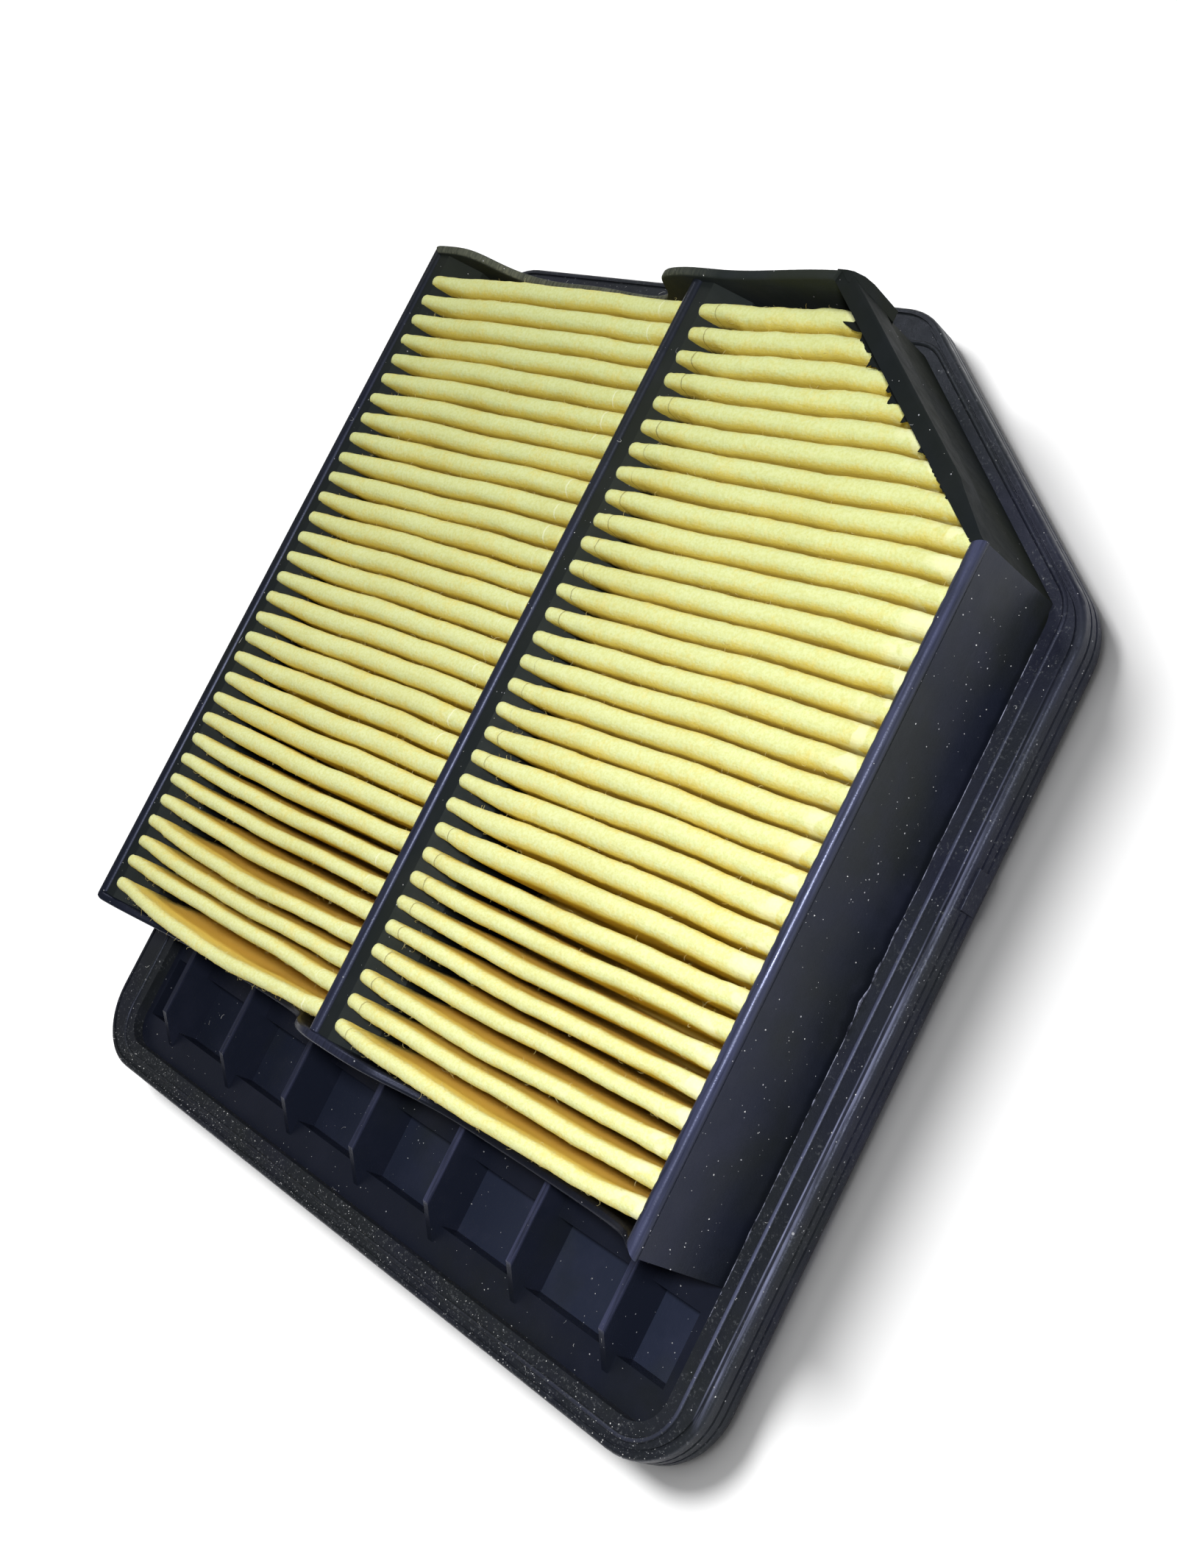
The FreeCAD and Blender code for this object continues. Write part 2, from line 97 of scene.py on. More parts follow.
# Flash, in millimetres: the height of the clipped wall's edge, and where the seal's lip is across and in
# height; then teeth of flash, each with where it is along y, how long it is and its half-width at the root
CLIP_FLASH_Z = 34.42
LIP_X = 96.35
LIP_Z = 9.05
FLASH_TEETH = ((90.6, 1.5, 1.0), (88.9, 1.6, 1.6), (86.4, 2.4, 1.4), (84.9, 1.0, 0.9),
               (81.0, 1.4, 0.9), (79.3, 2.1, 1.1), (75.6, 1.5, 0.6), (70.2, 1.0, 0.5))
FLASH_SPIKE = (92.7, 5.2, 1.4)
LIP_TEETH = ((-9.0, 0.7, 4.0), (-16.0, 1.1, 3.0), (-22.5, 1.9, 3.2), (-27.0, 0.9, 1.6), (-41.0, 0.5, 2.4),
             (-66.0, 0.45, 3.0), (8.0, 0.4, 2.5), (31.0, 0.35, 2.0))

# Dust: how far from the middle it may lie, in millimetres; the tries for grains in each place; the threads
# of lint; and the long threads, each with its start, heading, length and turn
RIM_X = 105.0
RIM_Y = 111.0
GRAINS_ALL_OVER = 1500
GRAINS_LOW_SIDE = 800
GRAINS_RIGHT_WALL = 170
LINT = 60
LONG_LINT = (((100.3, 51.0), 1.25, 9.0, 0.16), ((-30.0, -108.6), 0.5, 4.5, 0.2))

# Heights of the places given a painted highlight, in metres
FIN_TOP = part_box("tray_fin_1")[1].z
RIM_TOP = (0.0326, 0.0343)
BEAD_TOP = (0.00936, 0.00950)

# Studio, in metres
FLOOR_HALF = 15.0
FLOOR_GAP = 0.0002
SUN_FROM = (-1.30, 0.66, 1.75)
FILL_AT = (0.0, 0.0, 1.6)
WINDOW_AT = (-0.95, 1.15, 1.62)
FLASH_AT = (0.32, 0.005, 0.37)
LAMPS_AIM = (0.0, 0.0, 0.02)


def add_object(name, mesh, material, replaced=()):
    """Link a finished mesh as one piece of the filter."""
    mesh.materials.append(material)
    piece = bpy.data.objects.new(name, mesh)
    bpy.context.collection.objects.link(piece)
    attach(piece, "root")
    if replaced:
        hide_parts(*replaced)
    return piece


def make_camera():
    data = bpy.data.cameras.new("camera")
    data.lens = CAMERA_LENS
    data.sensor_width = 36.0
    data.clip_start = 0.01
    data.clip_end = 50.0
    camera = bpy.data.objects.new("camera", data)
    bpy.context.collection.objects.link(camera)
    level = (CAMERA_AIM - CAMERA_AT).to_track_quat("-Z", "Y").to_matrix().to_4x4()
    roll = Matrix.Rotation(math.radians(CAMERA_ROLL), 4, "Z")
    camera.matrix_world = Matrix.Translation(CAMERA_AT) @ level @ roll
    bpy.context.scene.camera = camera
    bpy.context.scene.view_settings.view_transform = "Standard"


class Look:
    """A node material with short calls for the nodes it uses; its coordinates are the object's own."""

    def __init__(self, name):
        self.material = bpy.data.materials.new(name)
        self.material.use_nodes = True
        self.tree = self.material.node_tree
        self.shader = self.tree.nodes["Principled BSDF"]
        self.place = self.add("ShaderNodeTexCoord").outputs["Object"]

    def add(self, kind, **settings):
        node = self.tree.nodes.new(kind)
        for key, value in settings.items():
            setattr(node, key, value)
        return node

    def feed(self, socket, value):
        """Link a socket to another, or set it to a plain value."""
        if isinstance(value, bpy.types.NodeSocket):
            self.tree.links.new(value, socket)
        else:
            socket.default_value = value

    def math(self, operation, *values):
        node = self.add("ShaderNodeMath", operation=operation)
        for socket, value in zip(node.inputs, values):
            self.feed(socket, value)
        return node.outputs[0]

    def stretched(self, scale, turn=(0.0, 0.0, 0.0)):
        node = self.add("ShaderNodeMapping")
        self.feed(node.inputs["Vector"], self.place)
        node.inputs["Rotation"].default_value = turn
        node.inputs["Scale"].default_value = scale
        return node.outputs["Vector"]

    def noise(self, scale, detail=4.0, rough=0.55, at=None):
        node = self.add("ShaderNodeTexNoise")
        self.feed(node.inputs["Vector"], at or self.place)
        node.inputs["Scale"].default_value = scale
        node.inputs["Detail"].default_value = detail
        node.inputs["Roughness"].default_value = rough
        return node.outputs[0]

    def cells(self, scale):
        """Distance to the nearest cell centre, and that cell's random colour."""
        node = self.add("ShaderNodeTexVoronoi")
        self.feed(node.inputs["Vector"], self.place)
        node.inputs["Scale"].default_value = scale
        return node.outputs["Distance"], node.outputs["Color"]

    def attribute(self, name):
        """A value that the mesh holds at its points."""
        return self.add("ShaderNodeAttribute", attribute_name=name).outputs["Fac"]

    def span(self, value, low, high, out_low=0.0, out_high=1.0):
        """The value's place between low and high, clamped and mapped to the output range."""
        node = self.add("ShaderNodeMapRange", clamp=True)
        for socket, number in zip(node.inputs, (value, low, high, out_low, out_high)):
            self.feed(socket, number)
        return node.outputs[0]

    def mix(self, factor, a, b, blend="MIX"):
        node = self.add("ShaderNodeMix", data_type="RGBA", blend_type=blend)
        self.feed(node.inputs[0], factor)
        self.feed(node.inputs[6], a)
        self.feed(node.inputs[7], b)
        return node.outputs[2]

    def axis(self, index):
        node = self.add("ShaderNodeSeparateXYZ")
        self.feed(node.inputs[0], self.place)
        return node.outputs[index]

    def specks(self, scale, share, size):
        """Small round specks: in a share of the cells, each up to size of a cell across."""
        distance, colour = self.cells(scale)
        parts = self.add("ShaderNodeSeparateColor")
        self.feed(parts.inputs[0], colour)
        chosen = self.math("LESS_THAN", parts.outputs[0], share)
        radius = self.math("MULTIPLY", parts.outputs[1], size)
        near = self.math("LESS_THAN", distance, radius)
        return self.math("MULTIPLY", chosen, near)

    def product(self, first, *others):
        for other in others:
            first = self.math("MULTIPLY", first, other)
        return first

    def bump(self, height, strength, distance, after=None):
        node = self.add("ShaderNodeBump")
        node.inputs["Strength"].default_value = strength
        node.inputs["Distance"].default_value = distance
        self.feed(node.inputs["Height"], height)
        if after is not None:
            self.feed(node.inputs["Normal"], after)
        return node.outputs[0]

    def set(self, **sockets):
        """Link or set the shader's sockets, each named with _ for a space."""
        for name, value in sockets.items():
            self.feed(self.shader.inputs[name.replace("_", " ")], value)


def rgb(r, g, b):
    return (r, g, b, 1.0)


def band(look, value, middle, half):
    """1 at the middle value, fading to 0 at half on each side of it."""
    away = look.math("ABSOLUTE", look.math("SUBTRACT", value, middle))
    return look.span(away, half * 0.3, half, 1.0, 0.0)


def highlight_rims(look):
    """Where the painted highlight goes: the wall tops and the rib, more towards the right-hand side."""
    side = look.math("SUBTRACT", look.axis(0), look.math("MULTIPLY", look.axis(1), 0.35))
    return look.product(look.span(look.axis(2), *RIM_TOP), look.span(side, -0.040, 0.090))


def highlight_fins(look):
    """Where the painted highlight goes: the tops of the fins, less towards the left."""
    top = look.span(look.axis(2), FIN_TOP - 0.0006, FIN_TOP - 0.0001)
    return look.product(top, look.span(look.axis(0), -0.085, 0.030, 0.25, 1.0))


def painted_light_shoulder(look):
    """Where painted light goes: the upward faces of the far wall over the left cell."""
    parts = look.add("ShaderNodeSeparateXYZ")
    look.feed(parts.inputs[0], look.add("ShaderNodeTexCoord").outputs["Normal"])
    return look.product(look.span(parts.outputs[2], 0.3, 0.7), look.span(look.axis(0), 0.005, -0.015))


# Tones of painted highlight and painted light on plastic, and of painted shade on plastic
HIGHLIGHT_BLUE = rgb(0.085, 0.092, 0.175)
LIT_OLIVE = rgb(0.215, 0.22, 0.155)
NEAR_BLACK = rgb(0.003, 0.004, 0.006)


def plastic_look(name, highlight_places=None, highlight_tone=HIGHLIGHT_BLUE, pale=1.0, cool=1.0, gloss=0.32,
                 rough=(0.30, 0.42), painted_shade_left=0.0):
    """Moulded near-black plastic with a blue cast, olive in places (random tone, and towards the far end a
    painted reflection of the yellow felt), dusted with pale specks, and streaked with a painted highlight,
    and glossier, in the given places. pale and cool make lit and shaded copies of it, painted light and
    painted shade; painted_shade_left is the share of painted shade towards near-black at the left."""
    look = Look(name)
    blue = rgb(0.0080 * pale, 0.0100 * pale, 0.0178 * pale * cool)
    olive = rgb(0.0105 * pale, 0.0122 * pale, 0.0098 * pale)
    hazy = rgb(0.015 * pale, 0.0165 * pale, 0.029 * pale * cool)
    # olive towards the far end and at random: partly random tone, partly a painted reflection of the yellow
    # felt
    cast = look.math("ADD", look.noise(24.0, 3.0), look.math("MULTIPLY", look.axis(1), 1.1))
    base = look.mix(look.span(cast, 0.44, 0.64), blue, olive)
    base = look.mix(look.span(look.noise(85.0, 5.0, 0.62), 0.46, 0.78, 0.0, 0.5), base, hazy)
    if painted_shade_left:
        # painted shade: towards near-black at the left
        base = look.mix(look.span(look.axis(0), -0.080, 0.045, painted_shade_left, 0.0), base, NEAR_BLACK)
    streaks = look.noise(1.0, 4.0, 0.6, at=look.stretched((1500.0, 70.0, 1500.0)))
    roughness = look.span(look.noise(300.0, 4.0, 0.6), 0.3, 0.72, *rough)
    if highlight_places:
        # painted highlight: pale streaks on the given places, which are also made glossier
        highlight_and_polish = look.product(highlight_places(look), look.span(streaks, 0.36, 0.62, 0.25, 1.0))
        base = look.mix(look.math("MULTIPLY", highlight_and_polish, 0.5), base, highlight_tone)
        roughness = look.math("SUBTRACT", roughness, look.math("MULTIPLY", highlight_and_polish, 0.12))
    dust = look.math("MAXIMUM", look.specks(1300.0, 0.03, 0.2), look.specks(420.0, 0.022, 0.09))
    look.set(Base_Color=look.mix(dust, base, rgb(0.40, 0.40, 0.42)))
    look.set(Roughness=look.math("MAXIMUM", roughness, dust))
    look.set(Specular_IOR_Level=gloss, Specular_Tint=rgb(0.66, 0.70, cool))
    normal = look.bump(look.noise(2600.0, 3.0), 0.2, 0.0001)
    look.set(Normal=look.bump(streaks, 0.14, 0.0002, after=normal))
    return look.material


def rubber_look():
    """Soft moulded rubber: charcoal, chalky and gritty, with fine pale dust and faint flow marks, and
    with painted highlights on the bead and along the right-hand ridges, the ridges glossier too."""
    look = Look("seal_rubber_look")
    x, y, z = (look.axis(index) for index in range(3))
    cloud = look.span(look.noise(70.0, 6.0, 0.65), 0.36, 0.7)
    base = look.mix(cloud, rgb(0.0085, 0.0095, 0.0165), rgb(0.017, 0.0185, 0.029))
    ends = look.math("MULTIPLY", look.math("ABSOLUTE", y), 1.4)
    olive = look.span(look.math("ADD", look.noise(30.0, 3.0), ends), 0.50, 0.70, 0.0, 0.7)
    base = look.mix(olive, base, rgb(0.015, 0.0175, 0.0155))
    side = look.math("SUBTRACT", x, look.math("MULTIPLY", y, 0.3))
    # painted highlight: a lavender line on the bead along the right-hand side, weaker at the near corner
    bead = look.product(look.span(z, *BEAD_TOP), look.span(side, 0.085, 0.115))
    bead = look.product(bead, look.span(y, -0.103, -0.088, 0.25, 1.0), 0.55)
    base = look.mix(bead, base, rgb(0.12, 0.13, 0.22))
    streaks = look.noise(1.0, 5.0, 0.65, at=look.stretched((900.0, 45.0, 900.0)))
    # painted highlights: pale streaks on two right-hand ridges, stronger towards the near end
    lines = look.math("MAXIMUM", band(look, x, 0.1026, 0.00024), band(look, x, 0.1035, 0.00065))
    lines = look.product(lines, look.span(y, -0.045, 0.050, 1.0, 0.0), look.span(y, -0.100, -0.085),
                         look.span(streaks, 0.38, 0.60, 0.15, 1.0))
    base = look.mix(lines, base, rgb(0.25, 0.265, 0.39))
    grain = look.noise(1500.0, 4.0, 0.72)
    lower = look.span(y, -0.107, -0.096, 0.20, 0.0)
    gritty = look.span(look.math("ADD", look.noise(160.0, 4.0, 0.6), lower), 0.46, 0.60)
    gritty = look.product(look.span(grain, 0.56, 0.68, 0.0, 0.75), gritty)
    base = look.mix(gritty, base, rgb(0.11, 0.115, 0.12))
    dust = look.math("MAXIMUM", look.specks(1500.0, 0.06, 0.22), look.specks(480.0, 0.035, 0.12))
    rough = look.span(look.noise(420.0, 4.0), 0.3, 0.7, 0.34, 0.54)
    rough = look.math("SUBTRACT", rough, look.math("MULTIPLY", lines, 0.14))
    look.set(Base_Color=look.mix(dust, base, rgb(0.33, 0.33, 0.34)))
    look.set(Roughness=look.math("MAXIMUM", rough, dust))
    look.set(Specular_IOR_Level=0.36, Specular_Tint=rgb(0.70, 0.74, 1.0))
    flow = look.noise(1.0, 4.0, 0.6, at=look.stretched((160.0, 160.0, 2400.0)))
    normal = look.bump(grain, 0.4, 0.0002)
    look.set(Normal=look.bump(flow, 0.18, 0.0003, after=normal))
    return look.material


def flash_look():
    """Thin torn edges of moulding flash, pale lavender in patches."""
    look = Look("flash_look")
    patches = look.noise(520.0, 4.0, 0.65)
    colour = look.mix(look.span(patches, 0.44, 0.62), rgb(0.014, 0.015, 0.024), rgb(0.34, 0.35, 0.46))
    look.set(Base_Color=colour, Roughness=look.span(patches, 0.3, 0.7, 0.3, 0.5))
    look.set(Normal=look.bump(patches, 0.4, 0.0002))
    return look.material


def dust_look():
    """Pale house dust and lint, greyer in some grains than in others."""
    look = Look("dust_look")
    tone = look.noise(900.0, 3.0)
    look.set(Base_Color=look.mix(look.span(tone, 0.35, 0.65), rgb(0.34, 0.34, 0.36), rgb(0.78, 0.77, 0.74)))
    look.set(Roughness=0.9)
    look.set(Normal=look.bump(tone, 0.3, 0.0001))
    return look.material


def felt_marks(look, colour, crown):
    """Add a thin crease beside the rib in the right cell, dark with painted shade, and pale ticks beside it
    in the left one;
    gives the new colour and the crease."""
    across = look.math("ADD", look.axis(0), look.span(look.noise(330.0, 3.0), 0.3, 0.7, -0.0003, 0.0003))
    crease = look.product(band(look, across, 0.0075, 0.00022), look.span(look.noise(52.0, 2.0), 0.40, 0.52))
    # painted shade in the crease
    colour = look.mix(look.math("MULTIPLY", crease, 0.62), colour, rgb(0.20, 0.15, 0.045))
    tick = look.product(band(look, across, -0.0091, 0.0003), look.span(look.noise(85.0, 2.0), 0.44, 0.54))
    return look.mix(look.product(tick, crown, 0.55), colour, rgb(0.90, 0.90, 0.66)), crease


def media_look():
    """Felted pale yellow nonwoven, coloured with painted shade and painted golden bounce light: paler on the
    fold tips, golden down the sides, brown in the depths.
    """
    look = Look("filter_media_look")
    tip = rgb(0.665, 0.69, 0.305)
    side = rgb(0.76, 0.61, 0.125)
    deep = rgb(0.90, 0.69, 0.165)
    fuzz = look.noise(900.0, 5.0, 0.7)
    patch = look.span(look.noise(160.0, 4.0, 0.6), 0.3, 0.7, -0.45, 0.45)
    below = look.math("ADD", look.attribute("below_tip"), patch)
    below = look.math("ADD", below, look.span(fuzz, 0.3, 0.7, -0.4, 0.4))
    # painted shade and painted bounce light: pale on the tips, golden down the sides and in the depths
    colour = look.mix(look.span(below, 0.15, 1.5), tip, side)
    colour = look.mix(look.span(below, 2.6, 9.0), colour, deep)
    mottle = look.noise(1500.0, 5.0, 0.65)
    crown = look.span(below, 1.0, 3.0, 1.0, 0.0)
    paler = look.product(look.span(mottle, 0.42, 0.70, 0.0, 0.42), crown)
    colour = look.mix(paler, colour, rgb(0.80, 0.79, 0.50))
    duller = look.product(look.span(mottle, 0.52, 0.30, 0.0, 0.34), crown)
    colour = look.mix(duller, colour, rgb(0.60, 0.52, 0.155))
    warm = look.span(look.noise(38.0, 3.0), 0.46, 0.66, 0.0, 0.15)
    colour = look.mix(warm, colour, rgb(0.72, 0.60, 0.17), "MULTIPLY")
    # painted highlight: pale facets where the felt is pressed at the right wall
    facet_highlight = look.span(look.noise(210.0, 2.0, 0.4), 0.48, 0.53)
    colour = look.mix(look.product(facet_highlight, look.attribute("pressed"), 0.55), colour, rgb(0.84, 0.83, 0.50))
    colour, crease = felt_marks(look, colour, crown)
    spot = look.math("MULTIPLY", look.specks(70.0, 0.10, 0.02), 0.6)
    colour = look.mix(spot, colour, rgb(0.16, 0.12, 0.05))
    # painted light: brighter towards the near end, duller at the far end
    painted_falloff = look.add("ShaderNodeCombineColor")
    for channel, (far, near) in zip(painted_falloff.inputs, ((0.88, 1.10), (0.90, 1.09), (0.86, 1.12))):
        look.feed(channel, look.span(look.axis(1), -0.05, 0.07, near, far))
    colour = look.mix(1.0, colour, painted_falloff.outputs[0], "MULTIPLY")
    # painted shade: near-black down in the valleys beside the comb
    soaked = look.math("ADD", look.attribute("soaked"), look.span(fuzz, 0.3, 0.7, -0.15, 0.15))
    colour = look.mix(look.span(soaked, 0.25, 0.85), colour, rgb(0.022, 0.020, 0.013))
    look.set(Base_Color=colour, Roughness=0.95, Specular_IOR_Level=0.08)
    threads = look.noise(1.0, 5.0, 0.7, at=look.stretched((420.0, 2600.0, 2600.0), (0.0, 0.35, 0.42)))
    crossing = look.noise(1.0, 5.0, 0.7, at=look.stretched((2400.0, 500.0, 2400.0), (0.5, 0.0, -0.5)))
    normal = look.bump(look.math("ADD", threads, crossing), 0.5, 0.00025)
    normal = look.bump(look.noise(3000.0, 4.0, 0.7), 0.35, 0.00014, after=normal)
    look.set(Normal=look.bump(look.math("MULTIPLY", crease, -1.0), 0.35, 0.00015, after=normal))
    return look.material


def fibre_look():
    """Loose fibres of the same felt, some paler and some more golden, at random."""
    look = Look("loose_fibre_look")
    tone = look.noise(700.0, 3.0)
    look.set(Base_Color=look.mix(look.span(tone, 0.35, 0.65), rgb(0.62, 0.44, 0.10), rgb(0.80, 0.74, 0.40)))
    look.set(Roughness=0.8)
    look.set(Normal=look.bump(tone, 0.2, 0.0001))
    return look.material


def floor_look():
    look = Look("floor_look")
    tone = look.noise(3.0, 3.0)
    look.set(Base_Color=look.mix(tone, rgb(0.86, 0.86, 0.86), rgb(0.88, 0.88, 0.88)))
    look.set(Roughness=0.9)
    look.set(Specular_IOR_Level=0.1)
    return look.material


def smooth(value, low, high):
    """0 below low, 1 above high, and an even ease between."""
    t = np.clip((value - low) / (high - low), 0.0, 1.0)
    return t * t * (3.0 - 2.0 * t)


class Cell:
    """One cell's pleats: where they start and end, and how each one bows and waves."""

    def __init__(self, node, finger, bows, drift, first_y, pitch, clip, pressed, seed):
        low, high = (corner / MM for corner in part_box(node))
        self.node = node
        self.name = node + "_felt"
        self.start, self.end = low.x, high.x
        self.y_low, self.y_high = low.y, high.y
        self.finger = finger
        self.drift = drift
        self.clip = clip
        self.pressed = pressed
        self.y = first_y + pitch * np.arange(PLEATS)
        self.bow = np.zeros(PLEATS)
        self.bow[:len(bows)] = bows
        self.seed = seed

    def stations(self):
        """Distances from the start wall: close together at the fingers and at the end."""
        length = self.end - self.start
        near = [0.0] + [self.finger + step for step in (-0.2, 0.05, 0.25, 0.55, 0.95)]
        near += [self.finger + 1.5 + 0.8 * k for k in range(6)]
        near += [self.finger + 6.6 + 1.1 * k for k in range(8)]
        rest = np.linspace(near[-1] + 1.6, length - 4.0, 38)
        last = [length - 2.8, length - 1.8, length - 0.9, length + 0.3]
        return np.concatenate([near, rest, last])

    def waves(self, along, reach, rng):
        """A slow sideways wave for each pleat, close to its neighbour's."""
        total = np.zeros((PLEATS, along.size))
        for wave_length, size in ((0.9, 0.20), (0.37, 0.11), (0.16, 0.03)):
            phase = rng.uniform(0.0, math.tau)
            for i in range(PLEATS):
                phase += rng.normal(0.0, 0.8)
                total[i] += size * reach * np.sin(math.tau * along / wave_length + phase)
        return total

    def lines(self):
        """Ridge centre, half-width and height for each pleat at each station."""
        rng = np.random.default_rng(self.seed)
        d = self.stations()
        length = self.end - self.start
        along = d / length
        held = np.sin(math.pi * np.clip(along, 0.0, 1.0)) ** 0.8
        free = smooth(d, self.finger, self.finger + 9.0) * smooth(length - d, 0.0, 12.0)
        index = np.arange(PLEATS)[:, None]
        middle = self.y[:, None] + self.bow[:, None] * held + self.drift * smooth(along, 0.0, 1.0)
        middle = middle + self.waves(along, 1.0, rng) * free
        full = SLIM_HALF + (FULL_HALF - SLIM_HALF) * smooth(index, 5.0, 9.0)
        half = FINGER_HALF + (full - FINGER_HALF) * smooth(d, self.finger - 1.0, self.finger + 19.0)
        half = half + 0.08 * self.waves(along, 2.0, rng) * free
        half = half + (2.2 - full) * 0.6 * smooth(d, length - 12.0, length - 0.5)
        starts = self.finger + rng.uniform(-0.25, 0.25, (PLEATS, 1))
        rise = np.clip((d - starts) / 1.5, 0.0, 1.0)
        nose = np.sqrt(1.0 - (1.0 - rise) ** 2)
        low = TIP_Z - 3.0
        lift = rng.uniform(-0.12, 0.12, (PLEATS, 1)) + 0.10 * self.waves(along, 1.0, rng)
        height = low + (TIP_Z - low) * nose + lift * free
        half = half * (0.8 + 0.2 * nose)
        return d, middle, half, height


def fold_profile(middle, half, height, valley_z, valley_half):
    """Points of the fold's outline at each station, valley by valley, as lists of y and z arrays."""
    edge = PITCH / 2.0
    y, z = [], []
    centre = middle[:, :1]
    crown = np.minimum(1.05 * half, 2.3)
    shoulder = height - crown
    foot = valley_z + valley_half

    def put(py, pz):
        y.append(py + 0.0 * middle)
        z.append(pz + 0.0 * middle)

    def side(direction, shares):
        for t in shares:
            from_y = centre + direction * (edge - valley_half)
            to_y = middle + direction * half
            ease = t ** 0.75
            swell = direction * 0.25 * math.sin(math.pi * t)
            put(from_y + (to_y - from_y) * ease + swell, foot + (shoulder - foot) * t)

    put(centre - edge, valley_z)
    put(centre - edge + 0.8 * valley_half, valley_z + 0.4 * valley_half)
    side(-1.0, (0.0, 0.35, 0.65, 0.84, 0.94))
    for k in range(11):
        angle = math.pi * (1.0 - k / 10.0)
        across = math.copysign(abs(math.cos(angle)) ** 0.92, math.cos(angle))
        up = math.sin(angle) ** 0.92 if 0 < k < 10 else 0.0
        put(middle + half * across, shoulder + crown * up)
    side(1.0, (0.94, 0.84, 0.65, 0.35, 0.0))
    put(centre + edge - 0.8 * valley_half, valley_z + 0.4 * valley_half)
    return y, z


def fold_sheet(cell):
    """Arrays of x, y and z over stations and outline points, for the sheet's upper and lower faces,
    with how far each point is below its own face's fold tips; then how far each point is pressed flat
    at the right wall, and how deep it is in painted shade down in the valleys beside the comb."""
    d, middle, half, height = cell.lines()
    faces = []
    for lower in (0.0, SHEET):
        top = height - lower
        bottom = VALLEY_Z - lower + RAMP_RISE * (1.0 - smooth(d, COMB_END, RAMP_END))
        y, z = fold_profile(middle, np.maximum(half - lower, 0.3), top, bottom, VALLEY_HALF + lower)
        y = np.stack(y, axis=1).reshape(-1, d.size).T
        z = np.stack(z, axis=1).reshape(-1, d.size).T
        first = np.full((d.size, 1), cell.y_low)
        last = np.full((d.size, 1), cell.y_high)
        flat = bottom[:, None]
        tips = np.repeat(top.T, OUTLINE, axis=1)
        tips = np.concatenate([tips[:, :1], tips, tips[:, -1:], tips[:, -1:]], axis=1)
        y = np.concatenate([first, y, last - 2.0, last], axis=1)
        z = np.concatenate([flat, z, flat, flat], axis=1)
        full = cell.end - cell.start
        reach = np.minimum(full, cell.clip(y) - cell.start)
        near = np.minimum(d, SQUARE_END)[:, None]
        rest = np.maximum(d - SQUARE_END, 0.0)[:, None]
        x = cell.start + near + rest * (reach - SQUARE_END) / (full - SQUARE_END)
        # painted shade: the -y flanks count 1.35 times as far below the tips, and so more golden, the +y
        # flanks 0.8 times
        shade = np.tile(np.where(np.arange(OUTLINE) < OUTLINE // 2, 1.35, 0.8), PLEATS)
        shade = np.concatenate([[1.0], shade, [1.0, 1.0]])
        below = z - flat if lower else (tips - z) * shade
        faces.append((x, y, z, below))
    pressed = smooth(d, full - 9.0, full - 4.0)[:, None] * cell.pressed + 0.0 * x
    # painted shade: near the comb and down in the valleys
    soaked = (1.0 - smooth(d, COMB_END, COMB_SHADE_END))[:, None] * smooth(faces[0][3], 3.0, 8.0)
    return faces, pressed, soaked


def felt_lumps(x, y, z, seed):
    """Small soft unevenness of the felt, as a height above the sheet."""
    rng = np.random.default_rng(seed)
    total = np.zeros(x.shape)
    for scale, size in ((1.1, 0.018), (2.3, 0.02), (4.9, 0.016)):
        for _ in range(3):
            way = rng.normal(size=3)
            way = way / np.linalg.norm(way) * scale
            total += size * np.sin(way[0] * x + way[1] * y + way[2] * z + rng.uniform(0.0, math.tau))
    return total


def sheet_mesh(name, upper, lower, **values):
    """A closed mesh between two faces, each x, y and z over rows and columns, with values at its points."""
    rows, columns = upper[0].shape
    points = np.concatenate([np.stack(face[:3], axis=-1).reshape(-1, 3) for face in (upper, lower)]) * MM
    top = np.arange(rows * columns).reshape(rows, columns)
    low = top + rows * columns
    quads = [
        np.stack([top[:-1, :-1], top[1:, :-1], top[1:, 1:], top[:-1, 1:]], axis=-1).reshape(-1, 4),
        np.stack([low[:-1, :-1], low[:-1, 1:], low[1:, 1:], low[1:, :-1]], axis=-1).reshape(-1, 4),
        np.stack([top[0, :-1], top[0, 1:], low[0, 1:], low[0, :-1]], axis=-1),
        np.stack([top[-1, :-1], low[-1, :-1], low[-1, 1:], top[-1, 1:]], axis=-1),
        np.stack([top[:-1, 0], low[:-1, 0], low[1:, 0], top[1:, 0]], axis=-1),
        np.stack([top[:-1, -1], top[1:, -1], low[1:, -1], low[:-1, -1]], axis=-1),
    ]
    faces = np.concatenate(quads)
    mesh = bpy.data.meshes.new(name)
    mesh.from_pydata(points.tolist(), [], faces.tolist())
    for key, pair in values.items():
        flat = np.concatenate([np.asarray(value).ravel() for value in pair]).astype(np.float32)
        mesh.attributes.new(key, "FLOAT", "POINT").data.foreach_set("value", flat)
    mesh.shade_smooth()
    return mesh


